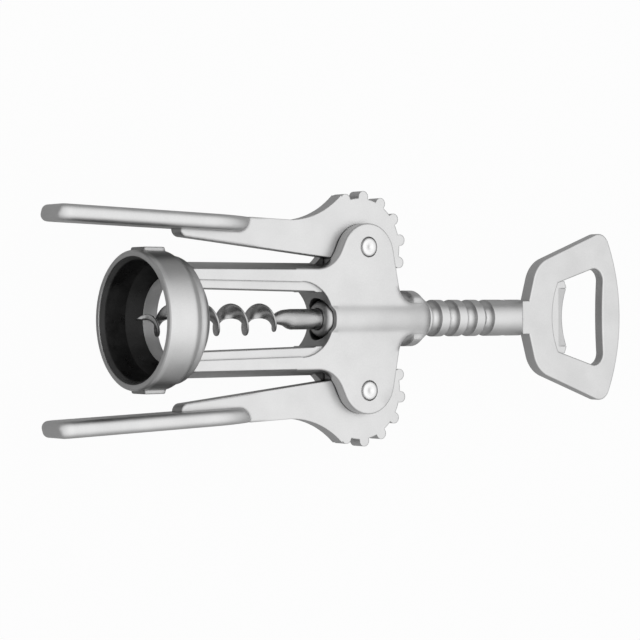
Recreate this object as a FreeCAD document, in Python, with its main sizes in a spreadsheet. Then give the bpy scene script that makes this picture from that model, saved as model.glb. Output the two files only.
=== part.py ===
"""Wing corkscrew: die-cast frame with bell, two toothed levers, ring rack, worm and opener head.

The tool lies flat. +X runs along the axis from the mouth of the bell to the opener head, +Z is the
direction of the pivot pins, and the origin is the centre of the bell's mouth. All sizes are in mm.
"""

import FreeCAD, Part
import math
import os

import Sketcher
from FreeCAD import Vector

doc = FreeCAD.newDocument("WingCorkscrew")
sizes = doc.addObject("Spreadsheet::Sheet", "sizes")

# ---------------------------------------------------------------------------------------------
# Driving dimensions: name, value, meaning
# ---------------------------------------------------------------------------------------------
DRIVING = [
    ("bell_radius", 18.5, "outer radius of the bell"),
    ("bell_length", 15.8, "mouth of the bell to the end of its shoulder"),
    ("bell_ring_length", 8.4, "straight front ring of the bell"),
    ("bell_bevel_length", 2.3, "bevel behind the front ring"),
    ("bell_bevel_depth", 1.35, "how far the bevel steps in"),
    ("bell_band_length", 1.6, "narrower band behind the bevel"),
    ("bell_throat_radius", 12.6, "bore of the bell at its rear"),
    ("bell_floor_radius", 11.6, "bore of the bell just behind the liner"),
    ("bell_lip", 0.4, "wall left at the rear end of the shoulder"),
    ("bell_round", 1.2, "rounding of the bell's outer steps"),
    ("bell_rim", 1.6, "width of the metal rim around the liner"),
    ("rim_round", 0.4, "edge rounding of the rim"),
    ("pad_length", 6.8, "length of the side pads on the bell"),
    ("pad_width", 6.6, "width of the side pads along Z"),
    ("pad_rise", 0.8, "how far a side pad stands proud of the bell"),
    ("pad_slope", 0.4, "slope of a pad's ends"),
    ("pad_round", 0.4, "edge rounding of the pads"),
    ("liner_length", 10.7, "depth of the liner"),
    ("liner_mouth_wall", 0.9, "wall of the liner at its mouth"),
    ("liner_lead", 1.0, "lead-in chamfer of the liner"),
    ("liner_edge", 0.3, "wall of the liner at its very edge"),
    ("liner_waist_radius", 14.6, "inner radius of the liner where its seat begins"),
    ("liner_waist_depth", 7.0, "depth at which the seat begins"),
    ("half_depth", 6.0, "half the thickness of the frame"),
    ("frame_draft", 18.0, "draft of the leg flanks, degrees"),
    ("leg_outside", 15.5, "outer face of the legs at the parting plane"),
    ("cheek_outside", 13.9, "outline of the cheeks beside the window"),
    ("window_back", 12.5, "pivots to the end of the window"),
    ("window_half_width", 8.45, "half width of the window beside the bell"),
    ("window_narrow", 7.5, "half width of the window at its end"),
    ("window_bow", 12.0, "bow with which the window closes at its end"),
    ("window_turn", 6.0, "end of the window to the place where it starts to close"),
    ("window_flat", 2.1, "half width of the window's straight end"),
    ("window_draft", 3.0, "draft of the window, degrees"),
    ("step_half_width", 10.85, "half width of the shallow step around the window, beside the bell"),
    ("step_narrow", 10.25, "half width of that step where it turns in"),
    ("step_turn", 9.5, "end of the window to the place where the step turns in"),
    ("step_back", 0.3, "end of the window to the end of the step"),
    ("step_flat", 2.2, "half width of the step's end"),
    ("step_end_bow", 6.0, "bow of that end"),
    ("step_bow", 16.0, "bow with which the step turns in"),
    ("step_depth", 0.9, "depth of the step below the frame's faces"),
    ("barrel_radius", 7.05, "barrel that bulges out of the cheeks"),
    ("barrel_reach", 16.4, "pivots to the collar of the barrel"),
    ("collar_radius", 7.95, "collar of the barrel"),
    ("collar_length", 3.0, "length of the collar"),
    ("collar_flat", 5.4, "flats on the front and back of the collar"),
    ("nose_length", 2.7, "cone at the end of the barrel"),
    ("nose_radius", 6.1, "end radius of the cone"),
    ("neck_half_width", 4.3, "half width of the cheeks where they reach the collar"),
    ("neck_reach", 2.8, "start of the collar to the end of the flat neck"),
    ("pin_x", 74.0, "distance of the pivots from the bell's mouth"),
    ("pin_radius", 2.85, "pivot pin"),
    ("pin_dome", 0.35, "how far the pin's ends are domed"),
    ("pin_proud", 0.2, "how far the pin's ends stand out of the cheeks"),
    ("pin_edge", 0.45, "bevel around each end of the pin"),
    ("ear_radius", 9.0, "round top of the ear"),
    ("ear_drop", 2.4, "centre of the ear's top below the pivot"),
    ("ear_left", 154.0, "direction in which the ear's round top ends towards the bell, degrees"),
    ("ear_right", 11.0, "direction in which it ends towards the barrel, degrees"),
    ("ear_foot_round", 9.0, "hollow where the ear rises from the leg"),
    ("ear_neck_round", 6.0, "hollow where the ear meets the barrel"),
    ("cheek_gap", 0.3, "clearance between a lever and each cheek"),
    ("spare", 2.0, "how far a hidden end reaches into or past its neighbour"),
    ("edge_round", 0.5, "rounding of the castings' outer edges"),
    ("lever_half_depth", 2.3, "half the thickness of a lever's web"),
    ("gear_teeth", 14, "teeth on a full turn of the lever's gear"),
    ("rack_pitch", 6.6, "distance between the rings of the rack"),
    ("tooth_round", 1.6, "radius of a tooth's round tip"),
    ("tooth_drop", 0.5, "centre of that round below the pitch circle"),
    ("tooth_turn", -4.0, "turn of the gear's first tooth from the line of centres, degrees"),
    ("tooth_count", 10, "teeth cut on each lever"),
    ("gear_root_depth", 1.0, "root of the gear below its pitch circle"),
    ("lever_reach", 60.2, "pivot to the end of the web under the handle"),
    ("web_low", 2.1, "inner edge of the web at that end"),
    ("web_high", 5.6, "outer edge of the web at that end, hidden in the handle"),
    ("web_corner", 2.2, "round corner of the web at that end"),
    ("web_near", 9.5, "pivot to the place where the web's inner edge meets the gear"),
    ("web_inside", -3.1, "inner edge of the web at the gear"),
    ("lever_outside", 7.25, "outer edge of the lever where the hollow behind the hook begins"),
    ("hook_turn", 65.0, "direction of the hook above the gear, degrees"),
    ("hook_radius", 16.0, "pivot to the hook's outer corner"),
    ("hook_start", 24.0, "where the hollow behind the hook begins"),
    ("hook_sweep", 25.5, "radius of the hollow behind the hook"),
    ("handle_end", 100.0, "pivot to the tip of the handle"),
    ("handle_rise", 2.75, "how far the handle's tip stands off"),
    ("handle_narrow", 50.8, "pivot to the place where the handle begins to narrow"),
    ("handle_slant", 2.1, "slant of the handle's end"),
    ("handle_fade", 37.8, "where the handle runs out into the web"),
    ("handle_foot_rise", 0.58, "how far the handle stands off there"),
    ("handle_nose", 3.7, "length of the handle's round end on the web"),
    ("handle_nose_round", 3.9, "radius of that end"),
    ("handle_proud", 0.1, "how far the narrowed handle stands out of the web's sides"),
    ("handle_thick", 4.35, "thickness of the handle at its tip"),
    ("handle_foot_thick", 4.1, "thickness of the handle where it runs out"),
    ("handle_half_width", 6.0, "half the width of the handle"),
    ("handle_corner", 5.0, "round corners of the handle's tip"),
    ("handle_taper", 26.0, "curve in which the handle narrows to the web"),
    ("handle_edge", 1.75, "rounding of the handle's long edges"),
    ("slot_gap", 0.6, "clearance of the gear slots around the teeth"),
    ("rack_radius", 5.3, "outer radius of the rack's rings"),
    ("mesh_gap", 0.22, "clearance of a tooth in its groove"),
    ("slide_gap", 0.08, "radial clearance of the rack in the barrel"),
    ("turn_gap", 0.05, "radial clearance of turning fits"),
    ("rack_proud", 1.2, "how far the rack stands out of the barrel at rest"),
    ("rack_lead", 0.25, "lead-in of the rack's bore"),
    ("seat_gap", 0.3, "end clearance of the shank and the spindle in their bores"),
    ("rack_end_round", 2.0, "rounding of the rack's lower end"),
    ("groove_count", 9, "grooves on the rack"),
    ("worm_radius", 4.4, "outer radius of the worm"),
    ("worm_inner", 0.3, "inner edge of the worm's ribbon"),
    ("worm_waist", 0.55, "share of the ribbon's thickness left at its edges"),
    ("worm_belly", 0.55, "share of the worm's radius at which the ribbon is thickest"),
    ("worm_lead", 9.4, "lead of the worm"),
    ("worm_crest", 1.7, "thickness of the worm's ribbon at its crest"),
    ("crest_back", 19.9, "shank to a crest of the worm on the +Y side"),
    ("worm_tip", 0.9, "point of the worm"),
    ("worm_tip_length", 6.4, "length of the ground point"),
    ("worm_nose_length", 2.2, "blunt part of the point"),
    ("worm_nose_radius", 2.5, "radius at the end of that part"),
    ("runout_back", 8.6, "shank to the place where the worm's edge starts to run out"),
    ("runout_bend", 3.2, "shank to the place where that edge has nearly reached it"),
    ("runout_radius", 2.95, "radius of the edge there"),
    ("runout_end_radius", 2.8, "radius of the edge at the shank"),
    ("neck_back", 5.4, "shank to the thinnest place behind the worm"),
    ("worm_neck_radius", 0.9, "radius at that place"),
    ("shank_back", 9.1, "rack's lower end to the full shank"),
    ("shank_radius", 2.85, "shank of the worm"),
    ("shank_seat", 2.7, "rack's lower end to the shoulder of the shank inside it"),
    ("core_radius", 2.3, "spindle inside the rack"),
    ("rod_length", 12.4, "last groove to the slope at the end of the rod"),
    ("rod_slope", 2.9, "length of that slope"),
    ("plate_neck", 5.55, "slope to the shoulders of the opener plate"),
    ("shoulder_length", 8.75, "slope to the sharp shoulder of the plate"),
    ("shoulder_width", 15.95, "half the width of the plate there"),
    ("corner_length", 36.65, "slope to the sharp far corner of the plate"),
    ("corner_width", 26.3, "half the width of the plate there"),
    ("head_neck_width", 4.85, "half width of the plate where it leaves the rod"),
    ("head_thick", 4.3, "thickness of the plate at the rod"),
    ("head_thin", 3.1, "thickness of the plate at its far edge"),
    ("head_shoulder", 9.0, "round shoulders of the plate"),
    ("head_corner", 4.3, "far corners of the plate"),
    ("head_far_round", 56.0, "radius of the far edge"),
    ("head_edge", 0.45, "rounding of the plate's edges"),
    ("hole_start", 17.45, "slope to the near corners of the opener's hole"),
    ("hole_end", 36.4, "slope to the far corners of the hole"),
    ("hole_narrow", 10.25, "half width of the hole near the rod"),
    ("hole_wide", 15.9, "half width of the hole at its far end"),
    ("hole_left_round", 23.3, "bow of the hole's near side"),
    ("hole_corner", 3.6, "far corners of the hole"),
    ("hole_far_round", 149.0, "bow of the hole's far side"),
    ("lifter_reach", 19.9, "slope to the middle of the cap lifter's edge"),
    ("lifter_teeth", 8.2, "half the width of the cap lifter's edge"),
    ("lifter_width", 10.8, "half the width of the cap lifter behind its edge"),
    ("lifter_rise", 1.9, "how far the ends of that edge stand forward"),
    ("lifter_notch", 1.0, "notch beside each end of the edge"),
    ("lifter_bevel", 1.6, "length of the bevel behind the edge"),
    ("lifter_lip", 0.35, "half the thickness left at the edge"),
    ("lifter_half", 0.9, "half the thickness of the cap lifter"),
    ("press_gap", 0.02, "radial clearance of pressed fits"),
    ("cross_pin_radius", 1.25, "pin that locks the spindle in the head"),
    ("cross_pin_back", 3.6, "cross pin to the slope of the rod"),
    ("core_back", 0.4, "end of the spindle to the slope of the rod"),
]


def fill_sheet():
    """Writes the driving dimensions into the sheet, one row each."""
    for row, (alias, value, note) in enumerate(DRIVING, start=1):
        sizes.set(f"A{row}", alias)
        sizes.set(f"B{row}", str(value))
        sizes.setAlias(f"B{row}", alias)
        sizes.set(f"C{row}", note)
    sizes.recompute()


fill_sheet()
worked_out = {}


def work_out(alias, formula):
    """Adds a cell whose value follows from other cells, and gives its alias."""
    row = len(DRIVING) + 3 + len(worked_out)
    sizes.set(f"A{row}", alias)
    sizes.set(f"B{row}", "=" + formula)
    sizes.setAlias(f"B{row}", alias)
    worked_out[alias] = formula
    return alias


def value(alias):
    """Reads a cell of the sheet."""
    return float(sizes.get(alias))


def bind(feature, **formulas):
    """Ties properties of a feature to formulas on the sheet."""
    for name, formula in formulas.items():
        cell = work_out(f"{feature.Name}_{name}", formula)
        feature.setExpression(name, f"sizes.{cell}")


# ---------------------------------------------------------------------------------------------
# Sketches and features
# ---------------------------------------------------------------------------------------------
def new_body(name):
    body = doc.addObject("PartDesign::Body", name)
    body.Label = name
    return body


def origin_part(body, role):
    """Finds an axis or plane of a body's origin by its role."""
    return next(f for f in body.Origin.OriginFeatures if f.Role == role)


def new_sketch(body, name, role="XY_Plane"):
    sketch = body.newObject("Sketcher::SketchObject", name)
    sketch.AttachmentSupport = [(origin_part(body, role), "")]
    sketch.MapMode = "FlatFace"
    return sketch


def arc_between(start, end, radius, side):
    """The short arc from start to end; side 1 bulges to the right of the way, -1 to the left."""
    chord = end.sub(start)
    half = chord.Length / 2
    rise = math.sqrt(max(radius**2 - half**2, 0.0))
    right = Vector(chord.y, -chord.x, 0).normalize()
    centre = start.add(end).multiply(0.5).sub(right.multiply(side * rise))
    circle = Part.Circle(centre, Vector(0, 0, 1), radius)
    first = math.atan2(start.y - centre.y, start.x - centre.x)
    last = math.atan2(end.y - centre.y, end.x - centre.x)
    if side > 0:
        return Part.ArcOfCircle(circle, first, last), 1, 2
    return Part.ArcOfCircle(circle, last, first), 2, 1


def outline(sketch, corners, arcs=None):
    """Draws a closed outline whose corners and arc radii are held to formulas of the sheet.

    corners is a list of (x formula, y formula). arcs gives, by the number of the side, the formula
    of its radius and the side that it bulges to.
    """
    arcs = arcs or {}
    name = sketch.Name
    cells = []
    for number, (across, up) in enumerate(corners):
        cells.append((work_out(f"{name}_x_{number}", across), work_out(f"{name}_y_{number}", up)))
    for number, (radius, side) in arcs.items():
        work_out(f"{name}_r_{number}", radius)
    sizes.recompute()
    points = [Vector(value(across), value(up), 0) for across, up in cells]
    count = len(points)
    ends = []
    first = sketch.GeometryCount
    for number in range(count):
        start, end = points[number], points[(number + 1) % count]
        if number in arcs:
            curve, at_start, at_end = arc_between(start, end, value(f"{name}_r_{number}"), arcs[number][1])
        else:
            curve, at_start, at_end = Part.LineSegment(start, end), 1, 2
        sketch.addGeometry(curve, False)
        ends.append((first + number, at_start, at_end))
    for number in range(count):
        line, at_start, at_end = ends[number]
        follower, next_start, next_end = ends[(number + 1) % count]
        sketch.addConstraint(Sketcher.Constraint("Coincident", line, at_end, follower, next_start))
    for number in range(count):
        line, at_start, at_end = ends[number]
        for kind, cell, size in zip(("DistanceX", "DistanceY"), cells[number], points[number]):
            index = sketch.addConstraint(Sketcher.Constraint(kind, line, at_start, size))
            sketch.setExpression(f"Constraints[{index}]", f"sizes.{cell}")
        if number in arcs:
            cell = f"{name}_r_{number}"
            index = sketch.addConstraint(Sketcher.Constraint("Radius", line, value(cell)))
            sketch.setExpression(f"Constraints[{index}]", f"sizes.{cell}")


def round_hole(sketch, across, up, radius):
    """Draws a circle held to formulas of the sheet."""
    name = f"{sketch.Name}_c{sketch.GeometryCount}"
    cells = [work_out(f"{name}_x", across), work_out(f"{name}_y", up), work_out(f"{name}_r", radius)]
    sizes.recompute()
    centre = Vector(value(cells[0]), value(cells[1]), 0)
    index = sketch.addGeometry(Part.Circle(centre, Vector(0, 0, 1), value(cells[2])), False)
    rules = [
        Sketcher.Constraint("DistanceX", index, 3, centre.x),
        Sketcher.Constraint("DistanceY", index, 3, centre.y),
        Sketcher.Constraint("Radius", index, value(cells[2])),
    ]
    for rule, cell in zip(rules, cells):
        place = sketch.addConstraint(rule)
        sketch.setExpression(f"Constraints[{place}]", f"sizes.{cell}")


def mirrored_corners(upper):
    """Corners of an outline that is symmetric about the X axis, given its upper half from left to right."""
    return upper + [(across, f"-({up})") for across, up in reversed(upper)]


def extrude(body, kind, name, sketch, length, draft=None):
    """Pads or pockets a sketch both ways from its plane, length to each side."""
    feature = body.newObject(f"PartDesign::{kind}", name)
    feature.Profile = sketch
    feature.SideType = "Two sides"
    formulas = {"Length": length, "Length2": length}
    if draft:
        formulas.update(TaperAngle=draft, TaperAngle2=draft)
    bind(feature, **formulas)
    return feature


def turned(body, kind, name, sketch, role="X_Axis"):
    """Revolves a sketch about an axis of the body, adding or cutting."""
    feature = body.newObject(f"PartDesign::{kind}", name)
    feature.Profile = sketch
    feature.ReferenceAxis = (origin_part(body, role), [""])
    feature.Angle = 360
    return feature


def mirrored(body, name, features, role="XZ_Plane"):
    feature = body.newObject("PartDesign::Mirrored", name)
    feature.Originals = features
    feature.MirrorPlane = (origin_part(body, role), [""])
    body.Tip = feature
    return feature


def rounded(body, name, base, chosen, radius):
    """Rounds the edges of the base feature that the function chosen picks."""
    doc.recompute()
    edges = [f"Edge{n}" for n, edge in enumerate(base.Shape.Edges, start=1) if chosen(edge)]
    feature = body.newObject("PartDesign::Fillet", name)
    feature.Base = (base, edges)
    bind(feature, Radius=radius)
    return feature


def upright_at(across, up):
    """Picks the upright edges that stand at a place of the sheet or at its mirror image."""
    near = 0.1

    def chosen(edge):
        box = edge.BoundBox
        slim = box.XLength < near and box.YLength < near and box.ZLength > near
        return slim and abs(box.XMin - value(across)) < near and abs(abs(box.YMin) - value(up)) < near

    return chosen


def mirror_copy(name, source):
    """The same casting for the other side of the tool."""
    copy = doc.addObject("Part::Mirroring", name)
    copy.Label = name
    copy.Source = source
    copy.Normal = Vector(0, 1, 0)
    copy.Base = Vector(0, 0, 0)
    return copy


# ---------------------------------------------------------------------------------------------
# Worked-out places shared by the pieces
# ---------------------------------------------------------------------------------------------
work_out("pitch_radius", "rack_pitch * gear_teeth / (2 * pi)")
work_out("pin_y", "pitch_radius + rack_radius")
work_out("tip_radius", "pitch_radius - tooth_drop + tooth_round")
work_out("root_radius", "pitch_radius - gear_root_depth")
work_out("tooth_step", "360 / gear_teeth")
work_out("slot_radius", "tip_radius + slot_gap")
work_out("slot_half", "lever_half_depth + cheek_gap")
work_out("liner_radius", "bell_radius - bell_rim")
work_out("groove_radius", "tooth_round + mesh_gap")
work_out("first_groove", "pin_x + pitch_radius * tooth_turn * pi / 180 - rack_pitch")
work_out("last_groove", "first_groove + (groove_count - 1) * rack_pitch")
work_out("bore_radius", "rack_radius + slide_gap")
work_out("window_end", "pin_x - window_back")
work_out("barrel_wall_end", "pin_x + barrel_reach")
work_out("neck_end", "barrel_wall_end + collar_length")
work_out("barrel_end", "neck_end + nose_length")
work_out("ear_y", "pin_y - ear_drop")
work_out("ear_left_x", "pin_x + ear_radius * cos(ear_left)")
work_out("ear_left_y", "ear_y + ear_radius * sin(ear_left)")
work_out("ear_right_x", "pin_x + ear_radius * cos(ear_right)")
work_out("ear_right_y", "ear_y + ear_radius * sin(ear_right)")
work_out("foot_x", "ear_left_x - (ear_left_y - cheek_outside) / tan(ear_left - 90)")
work_out("neck_x", "ear_right_x + (ear_right_y - neck_half_width) * tan(ear_right)")
work_out("neck_cut", "ear_neck_round * tan(45 - ear_right / 2)")
work_out("bevel_end", "bell_ring_length + bell_bevel_length")
work_out("band_end", "bevel_end + bell_band_length")
work_out("band_radius", "bell_radius - bell_bevel_depth")
work_out("bevel_slant", "sqrt(bell_bevel_length ^ 2 + bell_bevel_depth ^ 2)")
work_out("bevel_cut", "bell_round * bell_bevel_depth / (bevel_slant + bell_bevel_length)")
work_out("shoulder_run", "bell_length - band_end")
work_out("shoulder_drop", "band_radius - bell_throat_radius - bell_lip")
work_out("shoulder_slant", "sqrt(shoulder_run ^ 2 + shoulder_drop ^ 2)")
work_out("shoulder_cut", "bell_round * shoulder_drop / (shoulder_slant + shoulder_run)")
work_out("pin_half", "half_depth + pin_proud")
work_out("pin_flat", "pin_radius - pin_edge")
work_out("pin_dome_round", "(pin_flat ^ 2 + pin_dome ^ 2) / (2 * pin_dome)")
work_out("rack_start", "window_end - rack_proud")
work_out("shank_start", "rack_start - shank_back")
work_out("shank_step", "rack_start + shank_seat")
work_out("worm_crest_x", "shank_start - crest_back")
work_out("worm_runout", "shank_start - runout_back")
work_out("worm_neck", "shank_start - neck_back")
work_out("worm_turns", "ceil((worm_crest_x - worm_tip + worm_lead / 2) / worm_lead)")
work_out("rod_end", "last_groove + rod_length")
work_out("core_end", "rod_end - core_back")
work_out("cross_pin_x", "rod_end - cross_pin_back")
work_out("slope_end", "rod_end + rod_slope")
work_out("shoulder_x", "rod_end + shoulder_length")
work_out("corner_x", "rod_end + corner_length")
work_out("far_bow", "head_far_round - sqrt(head_far_round ^ 2 - corner_width ^ 2)")
work_out("head_end", "corner_x + far_bow")
work_out("hole_near", "rod_end + hole_start")
work_out("hole_far", "rod_end + hole_end")
work_out("lifter_edge", "rod_end + lifter_reach")
sizes.recompute()


# ---------------------------------------------------------------------------------------------
# Frame: bell, legs, cheeks and barrel in one casting
# ---------------------------------------------------------------------------------------------
def build_frame():
    body = new_body("frame")

    collar = new_sketch(body, "collar_profile")
    outline(collar, [
        ("barrel_wall_end", "0"),
        ("barrel_wall_end", "collar_radius"),
        ("neck_end", "collar_radius"),
        ("barrel_end", "nose_radius"),
        ("barrel_end", "0"),
    ])
    turned(body, "Revolution", "collar", collar)
    flats = new_sketch(body, "collar_flats_outline", "XZ_Plane")
    outline(flats, [
        ("barrel_wall_end - spare", "collar_flat"),
        ("barrel_wall_end - spare", "collar_radius + spare"),
        ("barrel_end + spare", "collar_radius + spare"),
        ("barrel_end + spare", "collar_flat"),
    ])
    front_flat = extrude(body, "Pocket", "collar_front", flats, "collar_radius + spare")
    mirrored(body, "collar_flats", [front_flat], "XY_Plane")

    cheeks = new_sketch(body, "cheeks_outline")
    upper = [
        ("window_end - window_back", "cheek_outside"),
        ("foot_x", "cheek_outside"),
        ("ear_left_x", "ear_left_y"),
        ("ear_right_x", "ear_right_y"),
        ("neck_x - neck_cut * sin(ear_right)", "neck_half_width + neck_cut * cos(ear_right)"),
        ("neck_x + neck_cut", "neck_half_width"),
        ("barrel_wall_end + neck_reach", "neck_half_width"),
    ]
    top, hollow = ("ear_radius", -1), ("ear_neck_round", 1)
    outline(cheeks, mirrored_corners(upper), {2: top, 4: hollow, 8: hollow, 10: top})
    plates = extrude(body, "Pad", "cheeks", cheeks, "half_depth")
    feet = rounded(body, "ear_feet", plates, upright_at("foot_x", "cheek_outside"), "ear_foot_round")

    def face_edge(edge):
        """An edge of the cheeks' front or back outline, past the legs."""
        box = edge.BoundBox
        on_face = box.ZLength < 0.01 and abs(abs(box.ZMin) - value("half_depth")) < 0.01
        past_legs = box.XMax > value("window_end") - value("window_back") + 1
        return on_face and past_legs and box.XLength > 0.1

    rounded(body, "cheek_round", feet, face_edge, "edge_round")

    legs = new_sketch(body, "legs_outline")
    legs_end = "window_end + window_turn / 2"
    upper = [("liner_length + edge_round", "leg_outside"), (legs_end, "leg_outside")]
    outline(legs, mirrored_corners(upper))
    extrude(body, "Pad", "legs_block", legs, "half_depth", "-frame_draft")

    barrel = new_sketch(body, "barrel_profile")
    outline(barrel, [
        ("window_end - spare", "0"),
        ("window_end - spare", "barrel_radius"),
        ("neck_end", "barrel_radius"),
        ("barrel_end", "nose_radius"),
        ("barrel_end", "0"),
    ])
    turned(body, "Revolution", "barrel", barrel)

    window = new_sketch(body, "window_outline")
    upper = [
        ("liner_length - spare", "window_half_width"),
        ("window_end - window_turn", "window_narrow"),
        ("window_end", "window_flat"),
    ]
    outline(window, mirrored_corners(upper), {1: ("window_bow", -1), 3: ("window_bow", -1)})
    extrude(body, "Pocket", "window", window, "half_depth + spare", "window_draft")

    step = new_sketch(body, "step_outline")
    upper = [
        ("liner_length - spare", "step_half_width"),
        ("window_end - step_turn", "step_narrow"),
        ("window_end - step_back", "step_flat"),
    ]
    arcs = {1: ("step_bow", -1), 2: ("step_end_bow", -1), 3: ("step_bow", -1)}
    outline(step, mirrored_corners(upper), arcs)
    step.setExpression("AttachmentOffset.Base.z", f"sizes.{work_out('step_plane', 'half_depth + spare')}")
    front_step = extrude(body, "Pocket", "window_step", step, "spare + step_depth")
    mirrored(body, "window_steps", [front_step], "XY_Plane")

    bell = new_sketch(body, "bell_profile")
    outline(bell, [
        ("rim_round", "bell_radius"),
        ("bell_ring_length - bevel_cut", "bell_radius"),
        (
            "bell_ring_length + bevel_cut * bell_bevel_length / bevel_slant",
            "bell_radius - bevel_cut * bell_bevel_depth / bevel_slant",
        ),
        ("bevel_end", "band_radius"),
        ("band_end - shoulder_cut", "band_radius"),
        (
            "band_end + shoulder_cut * shoulder_run / shoulder_slant",
            "band_radius - shoulder_cut * shoulder_drop / shoulder_slant",
        ),
        ("bell_length", "bell_throat_radius + bell_lip"),
        ("bell_length", "bell_throat_radius"),
        ("liner_length", "bell_floor_radius"),
        ("liner_length", "liner_radius"),
        ("0", "liner_radius"),
        ("0", "bell_radius - rim_round"),
    ], {1: ("bell_round", -1), 4: ("bell_round", -1)})
    turned(body, "Revolution", "bell", bell)

    pads = new_sketch(body, "pads_outline")
    outline(pads, [
        ("bell_ring_length - pad_length", "bell_radius - edge_round"),
        ("bell_ring_length - pad_length + pad_slope", "bell_radius + pad_rise"),
        ("bell_ring_length - pad_slope", "bell_radius + pad_rise"),
        ("bell_ring_length", "bell_radius - edge_round"),
    ])
    pad = extrude(body, "Pad", "side_pad", pads, "pad_width / 2")
    both_pads = mirrored(body, "side_pads", [pad])

    def pad_edge(edge):
        """An edge around the top of a side pad."""
        box = edge.BoundBox
        return box.YLength < 0.01 and abs(abs(box.YMin) - value("bell_radius") - value("pad_rise")) < 0.01

    rounded(body, "pad_rounds", both_pads, pad_edge, "pad_round")

    hollow = new_sketch(body, "bell_hollow")
    outline(hollow, [
        ("-spare", "0"),
        ("-spare", "liner_radius"),
        ("liner_length", "liner_radius"),
        ("liner_length", "bell_floor_radius"),
        ("bell_length", "bell_throat_radius"),
        ("bell_length", "0"),
    ])
    turned(body, "Groove", "bell_bore", hollow)

    bore = new_sketch(body, "bore_profile")
    outline(bore, [
        ("window_end - window_back", "0"),
        ("window_end - window_back", "bore_radius"),
        ("barrel_end + spare", "bore_radius"),
        ("barrel_end + spare", "0"),
    ])
    turned(body, "Groove", "rack_bore", bore)

    slots = new_sketch(body, "gear_slots_outline")
    round_hole(slots, "pin_x", "pin_y", "slot_radius")
    round_hole(slots, "pin_x", "-pin_y", "slot_radius")
    extrude(body, "Pocket", "gear_slots", slots, "slot_half")

    holes = new_sketch(body, "pin_holes_outline")
    round_hole(holes, "pin_x", "pin_y", "pin_radius")
    round_hole(holes, "pin_x", "-pin_y", "pin_radius")
    extrude(body, "Pocket", "pin_holes", holes, "half_depth + spare")
    return body


# ---------------------------------------------------------------------------------------------
# Liner: black plastic seat for the bottle's neck
# ---------------------------------------------------------------------------------------------
def build_liner():
    body = new_body("bell_liner")
    section = new_sketch(body, "liner_profile")
    outline(section, [
        ("rim_round", "liner_radius"),
        ("rim_round", "liner_radius - liner_edge"),
        ("rim_round + liner_lead", "liner_radius - liner_mouth_wall"),
        ("liner_waist_depth", "liner_waist_radius"),
        ("liner_length", "bell_floor_radius"),
        ("liner_length", "liner_radius"),
    ])
    turned(body, "Revolution", "liner", section)
    return body


# ---------------------------------------------------------------------------------------------
# Levers: gear sector, web and flat handle, drawn about the pivot
# ---------------------------------------------------------------------------------------------
def at_pivot(body):
    """Moves a body that is drawn about its pivot to the pivot's place on the left side."""
    body.setExpression("Placement.Base.x", "sizes.pin_x")
    body.setExpression("Placement.Base.y", "sizes.pin_y")


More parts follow.
